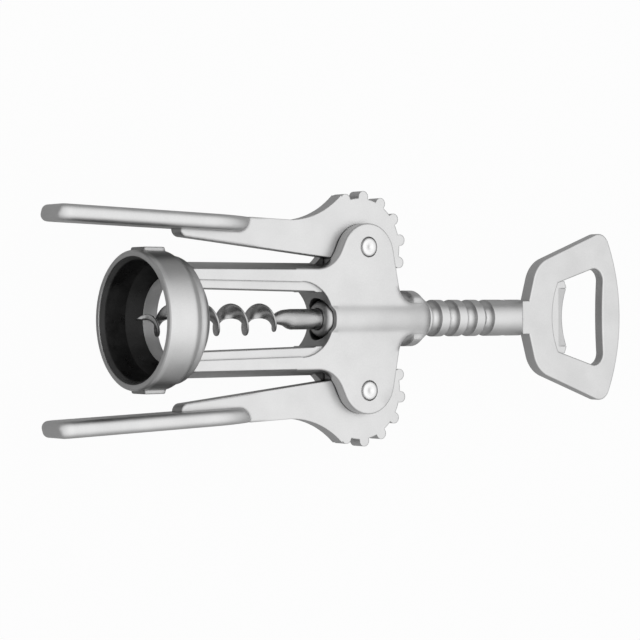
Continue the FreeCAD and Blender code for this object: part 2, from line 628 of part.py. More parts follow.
def build_lever():
    body = new_body("left_lever")

    side = new_sketch(body, "handle_side")
    outline(side, [
        ("-(handle_end - handle_slant)", "lever_outside + handle_rise"),
        ("-handle_fade", "lever_outside + handle_foot_rise"),
        ("-(handle_fade + handle_nose)", "lever_outside + handle_foot_rise - handle_foot_thick"),
        ("-handle_end", "lever_outside + handle_rise - handle_thick"),
    ], {1: ("handle_nose_round", -1)})
    extrude(body, "Pad", "handle", side, "handle_half_width + spare")

    plan = new_sketch(body, "handle_plan", "XZ_Plane")
    narrowed = "lever_half_depth + handle_proud"
    outline(plan, [
        ("-handle_end", "handle_half_width - handle_corner"),
        ("-(handle_end - handle_corner)", "handle_half_width"),
        ("-handle_narrow", "handle_half_width"),
        ("-handle_fade + edge_round", narrowed),
        ("-handle_fade + spare", narrowed),
        ("-handle_fade + spare", "handle_half_width + 2 * spare"),
        ("-(handle_end + spare)", "handle_half_width + 2 * spare"),
        ("-(handle_end + spare)", "handle_half_width - handle_corner"),
    ], {0: ("handle_corner", -1), 2: ("handle_taper", -1)})
    trim = extrude(body, "Pocket", "handle_trim", plan, "handle_end")
    strip = mirrored(body, "handle_trims", [trim], "XY_Plane")

    def long_edge(edge):
        """An edge along the handle or around its tip."""
        box = edge.BoundBox
        tip_edge = box.XMax < -value("handle_end") + value("handle_slant") + 0.1 and box.ZLength > 1
        return (box.XLength > 0.5 and box.YLength < value("handle_nose") - 0.5) or tip_edge

    rounded(body, "handle_round", strip, long_edge, "handle_edge")

    disc = new_sketch(body, "gear_outline")
    round_hole(disc, "0", "0", "root_radius")
    extrude(body, "Pad", "gear", disc, "lever_half_depth")
    notch = new_sketch(body, "gear_notch_outline")
    outline(notch, [
        ("-web_near", "web_inside + edge_round"),
        ("-web_near", "-root_radius"),
        ("-(root_radius + spare)", "-root_radius"),
        ("-(root_radius + spare)", "web_inside + edge_round"),
    ])
    extrude(body, "Pocket", "gear_notch", notch, "half_depth")

    web = new_sketch(body, "web_outline")
    outline(web, [
        ("-lever_reach", "web_high"),
        ("-lever_reach", "web_low + web_corner"),
        ("-(lever_reach - web_corner)", "web_low"),
        ("-web_near", "web_inside"),
        ("-root_radius / 3", "0"),
        ("-root_radius / 3", "root_radius / 2"),
        ("-hook_radius * cos(hook_turn)", "hook_radius * sin(hook_turn)"),
        ("-hook_start", "lever_outside"),
        ("-handle_fade", "lever_outside + handle_foot_rise - turn_gap"),
        ("-(handle_fade + handle_nose)", "lever_outside"),
    ], {1: ("web_corner", 1), 6: ("hook_sweep", -1)})
    extrude(body, "Pad", "web", web, "lever_half_depth")

    tooth = new_sketch(body, "tooth_outline")
    turn = "(-90 + tooth_turn - tooth_step)"

    def around(radius, aside):
        """A point of the tooth: its distance from the pivot and from the tooth's middle line."""
        return (
            f"({radius}) * cos({turn}) - ({aside}) * sin({turn})",
            f"({radius}) * sin({turn}) + ({aside}) * cos({turn})",
        )

    outline(tooth, [
        around("root_radius - spare", "-tooth_round"),
        around("pitch_radius - tooth_drop", "-tooth_round"),
        around("tip_radius", "0"),
        around("pitch_radius - tooth_drop", "tooth_round"),
        around("root_radius - spare", "tooth_round"),
    ], {1: ("tooth_round", 1), 2: ("tooth_round", 1)})
    first = extrude(body, "Pad", "tooth", tooth, "lever_half_depth")
    teeth = body.newObject("PartDesign::PolarPattern", "teeth")
    teeth.Originals = [first]
    teeth.Axis = (origin_part(body, "Z_Axis"), [""])
    teeth.Mode = "Spacing"
    bind(teeth, Offset="tooth_step", Occurrences="tooth_count")
    body.Tip = teeth

    hole = new_sketch(body, "lever_hole_outline")
    round_hole(hole, "0", "0", "pin_radius + turn_gap")
    extrude(body, "Pocket", "lever_hole", hole, "half_depth")
    at_pivot(body)
    return body


def build_pin():
    """Pivot pin with bevelled and slightly domed ends, turned about its own axis."""
    body = new_body("left_pivot_pin")
    section = new_sketch(body, "pin_profile", "XZ_Plane")
    outline(section, [
        ("0", "-(pin_half + pin_dome)"),
        ("pin_flat", "-pin_half"),
        ("pin_radius - press_gap", "-(pin_half - pin_edge)"),
        ("pin_radius - press_gap", "pin_half - pin_edge"),
        ("pin_flat", "pin_half"),
        ("0", "pin_half + pin_dome"),
    ], {0: ("pin_dome_round", 1), 4: ("pin_dome_round", 1)})
    turned(body, "Revolution", "pin", section, "Z_Axis")
    at_pivot(body)
    return body


# ---------------------------------------------------------------------------------------------
# Ring rack: sleeve with round grooves that the gears mesh with
# ---------------------------------------------------------------------------------------------
def cut_ring(body, place):
    """Cuts one round groove about the X axis."""
    section = new_sketch(body, f"{body.Name}_groove_outline")
    round_hole(section, place, "rack_radius + 0.06", "groove_radius")
    return turned(body, "Groove", f"{body.Name}_groove", section)


def build_rack():
    body = new_body("ring_rack")
    section = new_sketch(body, "rack_profile")
    outline(section, [
        ("rack_start", "shank_radius + turn_gap + rack_lead"),
        ("rack_start", "rack_radius - rack_end_round"),
        ("rack_start + rack_end_round", "rack_radius"),
        ("last_groove", "rack_radius"),
        ("last_groove", "core_radius + turn_gap"),
        ("shank_step + seat_gap", "core_radius + turn_gap"),
        ("shank_step + seat_gap", "shank_radius + turn_gap"),
        ("rack_start + rack_lead", "shank_radius + turn_gap"),
    ], {1: ("rack_end_round", -1)})
    turned(body, "Revolution", "rack_tube", section)
    ring = cut_ring(body, "first_groove")
    rings = body.newObject("PartDesign::LinearPattern", "rings")
    rings.Originals = [ring]
    rings.Direction = (origin_part(body, "X_Axis"), [""])
    rings.Mode = "Spacing"
    bind(rings, Offset="rack_pitch", Occurrences="groove_count")
    body.Tip = rings
    return body


# ---------------------------------------------------------------------------------------------
# Worm: one helical ribbon, ground to a point, that runs into the shank
# ---------------------------------------------------------------------------------------------
def build_worm():
    body = new_body("worm")
    section = new_sketch(body, "worm_section")
    start = work_out("helix_start", "worm_crest_x - worm_turns * worm_lead")
    half = "worm_crest / 2"
    outline(section, [
        (f"{start} - {half} * worm_waist", "worm_inner"),
        (f"{start} + {half} * worm_waist", "worm_inner"),
        (f"{start} + {half}", "worm_radius * worm_belly"),
        (f"{start} + {half} * worm_waist", "worm_radius"),
        (f"{start} - {half} * worm_waist", "worm_radius"),
        (f"{start} - {half}", "worm_radius * worm_belly"),
    ])
    helix = body.newObject("PartDesign::AdditiveHelix", "worm_ribbon")
    helix.Profile = section
    helix.ReferenceAxis = (origin_part(body, "X_Axis"), [""])
    helix.Mode = "pitch-height-angle"
    bind(helix, Pitch="worm_lead", Height=f"shank_start - {start}")

    point = new_sketch(body, "point_outline")
    outline(point, [
        (f"{start} - worm_lead", "0"),
        ("worm_tip", "0"),
        ("worm_tip + worm_nose_length", "worm_nose_radius"),
        ("worm_tip + worm_tip_length", "worm_radius + turn_gap"),
        ("worm_tip + worm_tip_length", "worm_radius + spare"),
        (f"{start} - worm_lead", "worm_radius + spare"),
    ])
    turned(body, "Groove", "ground_point", point)

    runout = new_sketch(body, "runout_outline")
    outline(runout, [
        ("worm_runout", "worm_radius + turn_gap"),
        ("shank_start - runout_bend", "runout_radius"),
        ("shank_start", "runout_end_radius"),
        ("shank_start + worm_lead", "runout_end_radius"),
        ("shank_start + worm_lead", "worm_radius + spare"),
        ("worm_runout", "worm_radius + spare"),
    ])
    turned(body, "Groove", "runout", runout)

    shank = new_sketch(body, "shank_profile")
    outline(shank, [
        ("worm_runout", "0"),
        ("worm_neck", "worm_neck_radius"),
        ("shank_start", "shank_radius"),
        ("shank_step", "shank_radius"),
        ("shank_step", "core_radius"),
        ("core_end", "core_radius"),
        ("core_end", "0"),
    ])
    turned(body, "Revolution", "shank", shank)
    cross = new_sketch(body, "core_hole_outline", "XZ_Plane")
    round_hole(cross, "cross_pin_x", "0", "cross_pin_radius")
    extrude(body, "Pocket", "core_hole", cross, "rack_radius")
    return body


# ---------------------------------------------------------------------------------------------
# Opener head: rod that carries on the rack, and a flat plate with the cap lifter
# ---------------------------------------------------------------------------------------------
def build_head():
    body = new_body("opener_head")
    rod = new_sketch(body, "rod_profile")
    outline(rod, [
        ("last_groove + turn_gap", "0"),
        ("last_groove + turn_gap", "rack_radius"),
        ("slope_end", "rack_radius"),
        ("slope_end", "0"),
    ])
    turned(body, "Revolution", "rod", rod)
    cut_ring(body, "last_groove")

    plate_outline = new_sketch(body, "plate_outline")
    upper = [
        ("rod_end - spare", "head_neck_width"),
        ("rod_end + plate_neck", "head_neck_width"),
        ("shoulder_x", "shoulder_width"),
        ("corner_x", "corner_width"),
    ]
    outline(plate_outline, mirrored_corners(upper), {3: ("head_far_round", -1)})
    plate = extrude(body, "Pad", "plate", plate_outline, "head_thick / 2")
    shoulder, corner = upright_at("shoulder_x", "shoulder_width"), upright_at("corner_x", "corner_width")
    shoulders = rounded(body, "shoulders", plate, shoulder, "head_shoulder")
    rounded(body, "far_corners", shoulders, corner, "head_corner")

    wedge = new_sketch(body, "plate_wedge", "XZ_Plane")
    outline(wedge, [
        ("rod_end - rod_slope", "2 * rack_radius - head_thick / 2"),
        ("slope_end", "head_thick / 2"),
        ("head_end + spare", "head_thin / 2"),
        ("head_end + spare", "2 * rack_radius - head_thick / 2"),
    ])
    top = extrude(body, "Pocket", "plate_top", wedge, "corner_width + spare")
    mirrored(body, "plate_faces", [top], "XY_Plane")

    hole = new_sketch(body, "opener_hole_outline")
    outline(hole, [
        ("hole_near", "-hole_narrow"),
        ("hole_near", "hole_narrow"),
        ("hole_far", "hole_wide"),
        ("hole_far", "-hole_wide"),
    ], {0: ("hole_left_round", -1), 2: ("hole_far_round", 1)})
    opening = extrude(body, "Pocket", "opener_hole", hole, "head_thick")
    softened = rounded(body, "hole_corners", opening, upright_at("hole_far", "hole_wide"), "hole_corner")

    def plate_rim(edge):
        """An edge around a face of the plate or of its hole."""
        box = edge.BoundBox
        along_face = box.ZLength < value("head_thick") / 4 and max(box.XLength, box.YLength) > 0.5
        return along_face and box.XMin > value("slope_end") + 0.1

    rounded(body, "plate_round", softened, plate_rim, "head_edge")

    tongue = new_sketch(body, "lifter_outline")
    tooth_x = "lifter_edge + lifter_rise"
    outline(tongue, [
        ("hole_near - spare", "lifter_width + edge_round"),
        ("hole_near - spare", "-(lifter_width + edge_round)"),
        (f"{tooth_x} - lifter_notch", "-lifter_width"),
        (tooth_x, "-lifter_teeth"),
        (tooth_x, "lifter_teeth"),
        (f"{tooth_x} - lifter_notch", "lifter_width"),
    ], {3: ("(lifter_teeth ^ 2 + lifter_rise ^ 2) / (2 * lifter_rise)", -1)})
    extrude(body, "Pad", "cap_lifter", tongue, "lifter_half")
    bevel = new_sketch(body, "lifter_bevel_outline", "XZ_Plane")
    outline(bevel, [
        ("lifter_edge - lifter_bevel", "lifter_half"),
        (tooth_x, "lifter_lip"),
        (tooth_x, "2 * lifter_half"),
        ("lifter_edge - lifter_bevel", "2 * lifter_half"),
    ])
    extrude(body, "Pocket", "lifter_ground", bevel, "lifter_teeth + edge_round")

    bore = new_sketch(body, "core_bore_profile")
    outline(bore, [
        ("last_groove - spare", "0"),
        ("last_groove - spare", "core_radius + press_gap"),
        ("core_end + seat_gap", "core_radius + press_gap"),
        ("core_end + seat_gap", "0"),
    ])
    turned(body, "Groove", "core_bore", bore)
    cross = new_sketch(body, "cross_hole_outline", "XZ_Plane")
    round_hole(cross, "cross_pin_x", "0", "cross_pin_radius")
    extrude(body, "Pocket", "cross_hole", cross, "rack_radius + spare")
    return body


def build_cross_pin():
    """Pin across rod and spindle, ground flush with the rod."""
    body = new_body("cross_pin")
    section = new_sketch(body, "cross_pin_outline", "XZ_Plane")
    round_hole(section, "cross_pin_x", "0", "cross_pin_radius - press_gap")
    extrude(body, "Pad", "cross_pin_rod", section, "rack_radius - slide_gap")
    return body


frame = build_frame()
liner = build_liner()
left_lever = build_lever()
left_pin = build_pin()
rack = build_rack()
worm = build_worm()
head = build_head()
cross_pin = build_cross_pin()
right_lever = mirror_copy("right_lever", left_lever)
right_pin = mirror_copy("right_pivot_pin", left_pin)
doc.recompute()

PIECES = [frame, liner, left_lever, right_lever, left_pin, right_pin, rack, worm, head, cross_pin]


def check_and_write():
    """Refuses failed features, then writes one STEP file for each piece."""
    failed = [o.Name for o in doc.Objects if "Invalid" in o.State or "Error" in o.State]
    if failed:
        raise RuntimeError(f"features failed: {failed}")
    for piece in PIECES:
        if piece.Shape.isNull() or not piece.Shape.isValid():
            raise RuntimeError(f"{piece.Label} has no valid shape")
    os.makedirs("parts", exist_ok=True)
    for piece in PIECES:
        piece.Shape.exportStep(f"parts/{piece.Label}.step")
        box = piece.Shape.BoundBox
        print(piece.Label, len(piece.Shape.Solids), round(piece.Shape.Volume, 1), box)


check_and_write()
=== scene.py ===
"""Wing corkscrew on a white studio floor: camera, light, materials and detailed pieces."""
import math

import bmesh
import bpy
from mathutils import Matrix, Vector


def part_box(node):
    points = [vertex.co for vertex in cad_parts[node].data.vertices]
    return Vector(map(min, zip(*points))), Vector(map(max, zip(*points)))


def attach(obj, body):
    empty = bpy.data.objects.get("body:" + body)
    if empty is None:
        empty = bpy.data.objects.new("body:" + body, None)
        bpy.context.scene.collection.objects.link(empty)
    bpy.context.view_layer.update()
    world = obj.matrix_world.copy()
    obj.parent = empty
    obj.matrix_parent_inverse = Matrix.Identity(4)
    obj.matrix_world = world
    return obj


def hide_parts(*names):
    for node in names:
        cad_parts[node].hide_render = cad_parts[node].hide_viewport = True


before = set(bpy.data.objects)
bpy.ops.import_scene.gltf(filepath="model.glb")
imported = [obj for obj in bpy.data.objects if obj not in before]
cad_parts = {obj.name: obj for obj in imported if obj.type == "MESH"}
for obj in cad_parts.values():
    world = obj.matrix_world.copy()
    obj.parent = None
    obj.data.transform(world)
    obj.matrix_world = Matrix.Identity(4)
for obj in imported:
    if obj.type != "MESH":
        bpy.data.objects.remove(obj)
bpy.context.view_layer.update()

MM = 0.001

# ---------------------------------------------------------------------------------------------
# Camera: looks down on the tool from the side of the bell, the tool's axis across the picture
# ---------------------------------------------------------------------------------------------
CAMERA_PLACE = Vector((-320.55, 2.82, 511.91)) * MM
CAMERA_TARGET = Vector((61.32, -0.26, 0.0)) * MM
CAMERA_ROLL = math.radians(-0.261)
CAMERA_LENS = 129.55
CAMERA_SENSOR = 36.0
CAMERA_NEAREST = 10.0 * MM


def make_camera():
    camera = bpy.data.objects.new("camera", bpy.data.cameras.new("camera"))
    bpy.context.scene.collection.objects.link(camera)
    camera.data.lens = CAMERA_LENS
    camera.data.sensor_width = CAMERA_SENSOR
    camera.data.clip_start = CAMERA_NEAREST
    forward = (CAMERA_TARGET - CAMERA_PLACE).normalized()
    level = forward.cross(Vector((0, 1, 0))).normalized()
    upright = level.cross(forward)
    right = level * math.cos(CAMERA_ROLL) + upright * math.sin(CAMERA_ROLL)
    up = right.cross(forward)
    turn = Matrix((right, up, -forward)).transposed()
    camera.matrix_world = Matrix.Translation(CAMERA_PLACE) @ turn.to_4x4()
    bpy.context.scene.camera = camera


# ---------------------------------------------------------------------------------------------
# Light and floor
# ---------------------------------------------------------------------------------------------
# Strength of the sky at the horizon and straight up
SKY_LOW = 0.46
SKY_HIGH = 1.15
# Band above the horizon: its share of the sky's strength at +Y and at -Y, and its height
BAND_DARK_SIDE = 0.24
BAND_LIGHT_SIDE = 0.9
BAND_SIDE_REACH = 0.7
BAND_HEIGHT = 0.4
# Lamp: places and size in metres, power in watts
LAMP_PLACE = (0.5, 0.0, 1.1)
LAMP_TARGET = (0.07, 0, 0)
LAMP_SIZE = (1.4, 1.4)
LAMP_POWER = 1.0
FLOOR_Z = -18.6 * MM
FLOOR_REACH = 4.0
FLOOR_SHADE = 0.45
FLOOR_ROUGHNESS = 0.9
FLOOR_SEEN_WHITE = 0.965
FLOOR_MIRRORED_WHITE = 0.12


def make_lamp(name, place, target, size, power):
    light = bpy.data.lights.new(name, "AREA")
    light.shape = "RECTANGLE"
    light.size, light.size_y = size
    light.energy = power
    lamp = bpy.data.objects.new(name, light)
    bpy.context.scene.collection.objects.link(lamp)
    lamp.location = place
    lamp.rotation_euler = (Vector(target) - Vector(place)).to_track_quat("-Z", "Y").to_euler()


def make_world():
    """A sky that brightens from the horizon up, with a band at the horizon darker at +Y than at -Y."""
    world = bpy.data.worlds.new("studio")
    world.use_nodes = True
    nodes, links = world.node_tree.nodes, world.node_tree.links
    background = nodes["Background"]
    background.inputs["Color"].default_value = (1, 1, 1, 1)
    way = nodes.new("ShaderNodeTexCoord")
    parts = nodes.new("ShaderNodeSeparateXYZ")
    links.new(way.outputs["Generated"], parts.inputs["Vector"])

    def fade(axis, start, end, to_start, to_end):
        node = nodes.new("ShaderNodeMapRange")
        node.inputs["From Min"].default_value = start
        node.inputs["From Max"].default_value = end
        links.new(parts.outputs[axis], node.inputs["Value"])
        for socket, value in ((node.inputs["To Min"], to_start), (node.inputs["To Max"], to_end)):
            if isinstance(value, bpy.types.NodeSocket):
                links.new(value, socket)
            else:
                socket.default_value = value
        return node.outputs["Result"]

    side = fade("Y", -BAND_SIDE_REACH, BAND_SIDE_REACH, BAND_LIGHT_SIDE, BAND_DARK_SIDE)
    band = fade("Z", 0.0, BAND_HEIGHT, side, 1.0)
    rise = fade("Z", 0.0, 1.0, SKY_LOW, SKY_HIGH)
    tone = nodes.new("ShaderNodeMath")
    tone.operation = "MULTIPLY"
    links.new(band, tone.inputs[0])
    links.new(rise, tone.inputs[1])
    links.new(tone.outputs["Value"], background.inputs["Strength"])
    bpy.context.scene.world = world


def floor_material():
    """Pale floor that takes shadows and shows as white to the camera and as dark grey in the metal."""
    material = bpy.data.materials.new("floor_white")
    material.use_nodes = True
    nodes, links = material.node_tree.nodes, material.node_tree.links
    shader = nodes["Principled BSDF"]
    shader.inputs["Base Color"].default_value = (FLOOR_SHADE, FLOOR_SHADE, FLOOR_SHADE, 1)
    shader.inputs["Roughness"].default_value = FLOOR_ROUGHNESS
    shader.inputs["Specular IOR Level"].default_value = 0.0
    white = nodes.new("ShaderNodeEmission")
    white.inputs["Strength"].default_value = 1.0
    path = nodes.new("ShaderNodeLightPath")
    share = None
    shares = (
        ("Is Camera Ray", FLOOR_SEEN_WHITE),
        ("Is Glossy Ray", FLOOR_MIRRORED_WHITE),
        ("Is Transmission Ray", FLOOR_SEEN_WHITE),
    )
    for ray, white_share in shares:
        part = nodes.new("ShaderNodeMath")
        part.operation = "MULTIPLY_ADD"
        links.new(path.outputs[ray], part.inputs[0])
        part.inputs[1].default_value = white_share
        part.inputs[2].default_value = 0.0
        if share:
            links.new(share, part.inputs[2])
        share = part.outputs["Value"]
    mix = nodes.new("ShaderNodeMixShader")
    links.new(share, mix.inputs["Fac"])
    links.new(shader.outputs["BSDF"], mix.inputs[1])
    links.new(white.outputs["Emission"], mix.inputs[2])
    links.new(mix.outputs["Shader"], nodes["Material Output"].inputs["Surface"])
    return material


def make_floor():
    mesh = bpy.data.meshes.new("floor")
    sides = ((-1, -1), (1, -1), (1, 1), (-1, 1))
    mesh.from_pydata([(FLOOR_REACH * x, FLOOR_REACH * y, FLOOR_Z) for x, y in sides], [], [(0, 1, 2, 3)])
    floor = bpy.data.objects.new("floor", mesh)
    bpy.context.scene.collection.objects.link(floor)
    mesh.materials.append(floor_material())


# ---------------------------------------------------------------------------------------------
# Mesh tools
# ---------------------------------------------------------------------------------------------
def turns(count):
    """Angles of a full turn in even steps."""
    return [2 * math.pi * k / count for k in range(count)]


def smooth_path(points, x):
    """Value at x of a smooth curve through the points, held before the first and after the last."""
    if x <= points[0][0]:
        return points[0][1]
    if x >= points[-1][0]:
        return points[-1][1]
    pairs = list(zip(points, points[1:]))
    slopes = [(after[1] - before[1]) / (after[0] - before[0]) for before, after in pairs]
    inner = [2 * a * b / (a + b) if a * b > 0 else 0.0 for a, b in zip(slopes, slopes[1:])]
    tangents = [slopes[0]] + inner + [slopes[-1]]
    place = next(k for k in range(len(slopes)) if x <= points[k + 1][0])
    (x0, y0), (x1, y1) = points[place], points[place + 1]
    width = x1 - x0
    t = (x - x0) / width
    rise = y0 * (1 + 2 * t) * (1 - t) ** 2 + y1 * t * t * (3 - 2 * t)
    return rise + width * (tangents[place] * t * (1 - t) ** 2 + tangents[place + 1] * t * t * (t - 1))


def skin(mesh, rings):
    """Closed surface over rings of points, all with as many points."""
    rows = [[mesh.verts.new(point) for point in ring] for ring in rings]
    for row, following in zip(rows, rows[1:]):
        for k in range(len(row)):
            nearby = (k + 1) % len(row)
            mesh.faces.new((row[k], row[nearby], following[nearby], following[k]))
    mesh.faces.new(tuple(reversed(rows[0])))
    mesh.faces.new(tuple(rows[-1]))
    bmesh.ops.recalc_face_normals(mesh, faces=mesh.faces)


def solid(name, rings):
    mesh = bmesh.new()
    skin(mesh, rings)
    data = bpy.data.meshes.new(name)
    mesh.to_mesh(data)
    mesh.free()
    piece = bpy.data.objects.new(name, data)
    bpy.context.scene.collection.objects.link(piece)
    return piece


def prism(name, outline, low, high):
    return solid(name, [[(x, y, z) for x, y in outline] for z in (low, high)])


def carve(piece, other, operation):
    """Joins or cuts a piece with another, which is used up."""
    modifier = piece.modifiers.new(operation.lower(), "BOOLEAN")
    modifier.object = other
    modifier.operation = operation
    modifier.solver = "EXACT"
    bpy.context.view_layer.update()
    result = bpy.data.meshes.new_from_object(piece.evaluated_get(bpy.context.evaluated_depsgraph_get()))
    piece.modifiers.clear()
    piece.data = result
    bpy.data.objects.remove(other)


def smooth_below(piece, angle):
    """Smooth shading, with edges sharper than an angle left crisp."""
    mesh = bmesh.new()
    mesh.from_mesh(piece.data)
    for face in mesh.faces:
        face.smooth = True
    for edge in mesh.edges:
        edge.smooth = len(edge.link_faces) < 2 or edge.calc_face_angle(0.0) < angle
    mesh.to_mesh(piece.data)
    mesh.free()


# ---------------------------------------------------------------------------------------------
# Worm: a helical ribbon, ground to a point, that runs into the shank
# ---------------------------------------------------------------------------------------------
WORM_LEAD = 9.4 * MM
WORM_CREST_X = 31.3 * MM
WORM_INNER_SHARE = 0.07
WORM_CRISP_ANGLE = math.radians(38)
# Half of the ribbon's thickness at its edge, and what is added to it at its root
RIBBON_HALF = 0.46 * MM
RIBBON_ROOT = 0.42 * MM
RIBBON_ROOT_TAPER = 2.2
RIBBON_ROUNDNESS = 0.45
RIBBON_FULL_RADIUS = 1.6 * MM
RIBBON_STEPS = 72
RIBBON_SIDE = 12
SHANK_SIDES = 64
SHANK_STEP_DEPTH = 2.7 * MM
SHANK_RADIUS = 2.85 * MM
SPINDLE_RADIUS = 2.3 * MM
CROSS_HOLE_RADIUS = 1.25 * MM
CROSS_HOLE_REACH = 4 * MM
CROSS_HOLE_SIDES = 32
NECK_STEPS = 33
# (place on the axis, outer radius of the ribbon) in millimetres
RIBBON_EDGE = (
    (0.2, 0.15), (1.8, 0.65), (3.3, 1.35), (5.4, 3.2), (7.6, 4.4),
    (42.6, 4.4), (45.4, 3.4), (47.4, 2.9), (49.4, 2.5),
)
# (place on the axis, radius) in millimetres, of the neck on the side away from the ribbon's end and under it
NECK_CLEAR_SIDE = (
    (44.6, 0.4), (45.5, 1.28), (47.0, 2.14), (48.6, 2.62), (50.3, 2.78), (51.2, 2.85),
)
NECK_RIBBON_SIDE = (
    (44.6, 0.4), (45.7, 1.2), (47.4, 1.5), (48.6, 1.75), (49.4, 2.15), (50.4, 2.65), (51.2, 2.85),
)


def ribbon_ring(x):
    """Section of the ribbon at a place on the axis, in the half-plane that its turn has reached."""
    edge = smooth_path(RIBBON_EDGE, x / MM) * MM
    slim = min(1.0, edge / RIBBON_FULL_RADIUS)
    inner = edge * WORM_INNER_SHARE
    turn = 2 * math.pi * (x - WORM_CREST_X) / WORM_LEAD
    ring = []
    for k in range(2 * RIBBON_SIDE):
        t = math.pi * k / RIBBON_SIDE
        share = (1 - math.cos(t)) / 2
        half = slim * (RIBBON_HALF + RIBBON_ROOT * (1 - share) ** RIBBON_ROOT_TAPER)
        side = math.copysign(abs(math.sin(t)) ** RIBBON_ROUNDNESS, math.sin(t)) if k % RIBBON_SIDE else 0.0
        radius = inner + (edge - inner) * share
        ring.append((x + half * side, radius * math.cos(turn), radius * math.sin(turn)))
    return ring


def round_ring(x, clear_side, ribbon_side):
    """Ring about the axis whose radius goes from one side (+Y) to the other (-Y)."""
    ring = []
    for turn in turns(SHANK_SIDES):
        radius = (clear_side + ribbon_side + (clear_side - ribbon_side) * math.cos(turn)) / 2
        ring.append((x, radius * math.cos(turn), radius * math.sin(turn)))
    return ring


def shank():
    """Neck, shank and the spindle inside the rack, as one solid."""
    rack_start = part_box("ring_rack")[0][0]
    spindle_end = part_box("worm")[1][0]
    neck_start, neck_end = NECK_CLEAR_SIDE[0][0], NECK_CLEAR_SIDE[-1][0]
    rings = []
    for k in range(NECK_STEPS + 1):
        x = neck_start + (neck_end - neck_start) * k / NECK_STEPS
        clear_side = smooth_path(NECK_CLEAR_SIDE, x) * MM
        ribbon_side = smooth_path(NECK_RIBBON_SIDE, x) * MM
        rings.append(round_ring(x * MM, clear_side, ribbon_side))
    shoulder = rack_start + SHANK_STEP_DEPTH
    for x, radius in ((shoulder, SHANK_RADIUS), (shoulder, SPINDLE_RADIUS), (spindle_end, SPINDLE_RADIUS)):
        rings.append(round_ring(x, radius, radius))
    return solid("shank", rings)


def cross_hole():
    """Rod that cuts the cross pin's hole, along Y."""
    pin_low, pin_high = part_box("cross_pin")
    pin_x = (pin_low[0] + pin_high[0]) / 2
    rings = []
    for y in (-CROSS_HOLE_REACH, CROSS_HOLE_REACH):
        ring = []
        for t in turns(CROSS_HOLE_SIDES):
            ring.append((pin_x + CROSS_HOLE_RADIUS * math.cos(t), y, CROSS_HOLE_RADIUS * math.sin(t)))
        rings.append(ring)
    return solid("pin_hole", rings)


def make_worm(material):
    first, last = RIBBON_EDGE[0][0] * MM, RIBBON_EDGE[-1][0] * MM
    steps = math.ceil(RIBBON_STEPS * (last - first) / WORM_LEAD)
    worm = solid("worm_ribbon", [ribbon_ring(first + (last - first) * k / steps) for k in range(steps + 1)])
    carve(worm, shank(), "UNION")
    carve(worm, cross_hole(), "DIFFERENCE")
    smooth_below(worm, WORM_CRISP_ANGLE)
    worm.data.materials.clear()
    worm.data.materials.append(material)
    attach(worm, "spindle")
    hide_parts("worm")


# ---------------------------------------------------------------------------------------------
# Frame: the casting with a round end to its window
# ---------------------------------------------------------------------------------------------
WINDOW_ROUND_X = 51.0 * MM
WINDOW_ROUND = (10.55 * MM, 10.4 * MM)
WINDOW_HALF_WIDTH = 7.45 * MM
STEP_DEPTH = 0.9 * MM
HALF_DEPTH = 6.0 * MM
CUT_SPARE = 2 * MM
ROUND_STEPS = 48
WELD_DISTANCE = 0.0005 * MM
CASTING_CRISP_ANGLE = math.radians(32)
# (place on the axis, radius) in millimetres, of the flared mouth of the barrel's bore
BORE_MOUTH = ((58.0, 5.9), (61.2, 5.8), (61.8, 5.68), (62.4, 5.52), (63.2, 5.42), (64.0, 5.4))


def window_end(half_width):
    """Outline of the window's round end, no wider than a half width."""
    reach_x, reach_y = WINDOW_ROUND
    widest = math.asin(min(1.0, half_width / reach_y))
    outline = []
    for k in range(ROUND_STEPS + 1):
        turn = widest * (2 * k / ROUND_STEPS - 1)
        outline.append((WINDOW_ROUND_X + reach_x * math.cos(turn), reach_y * math.sin(turn)))
    return [(WINDOW_ROUND_X, -half_width)] + outline + [(WINDOW_ROUND_X, half_width)]


def make_casting(material):
    """Copy of the frame with a round end to its window and to the steps round it, and a flared bore."""
    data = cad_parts["frame"].data.copy()
    mesh = bmesh.new()
    mesh.from_mesh(data)
    bmesh.ops.remove_doubles(mesh, verts=mesh.verts, dist=WELD_DISTANCE)
    mesh.to_mesh(data)
    mesh.free()
    casting = bpy.data.objects.new("frame_casting", data)
    bpy.context.scene.collection.objects.link(casting)
    above = HALF_DEPTH + CUT_SPARE
    floor_of_step = HALF_DEPTH - STEP_DEPTH
    reach_y = WINDOW_ROUND[1]
    step = window_end(reach_y)[1:-1]
    carve(casting, prism("window_cut", window_end(WINDOW_HALF_WIDTH), -above, above), "DIFFERENCE")
    carve(casting, prism("front_step_cut", step, floor_of_step, above), "DIFFERENCE")
    carve(casting, prism("back_step_cut", step, -above, -floor_of_step), "DIFFERENCE")
    mouth = [round_ring(x * MM, radius * MM, radius * MM) for x, radius in BORE_MOUTH]
    carve(casting, solid("mouth_cut", mouth), "DIFFERENCE")
    smooth_below(casting, CASTING_CRISP_ANGLE)
    casting.data.materials.clear()
    casting.data.materials.append(material)
    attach(casting, "frame")
    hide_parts("frame")


# ---------------------------------------------------------------------------------------------
# Pivot pins: riveted ends, domed and dented inside a groove
# ---------------------------------------------------------------------------------------------
# (radius, depth below the top of the dome) in millimetres, from the shoulder in to the dent
PIN_END = (
    (2.83, 0.85), (2.66, 0.72), (2.54, 0.48), (2.44, 0.26), (2.3, 0.14),
    (1.9, 0.05), (1.3, 0.0), (0.7, 0.03), (0.3, 0.09),
)
PIN_SIDES = 72
PIN_CRISP_ANGLE = math.radians(50)


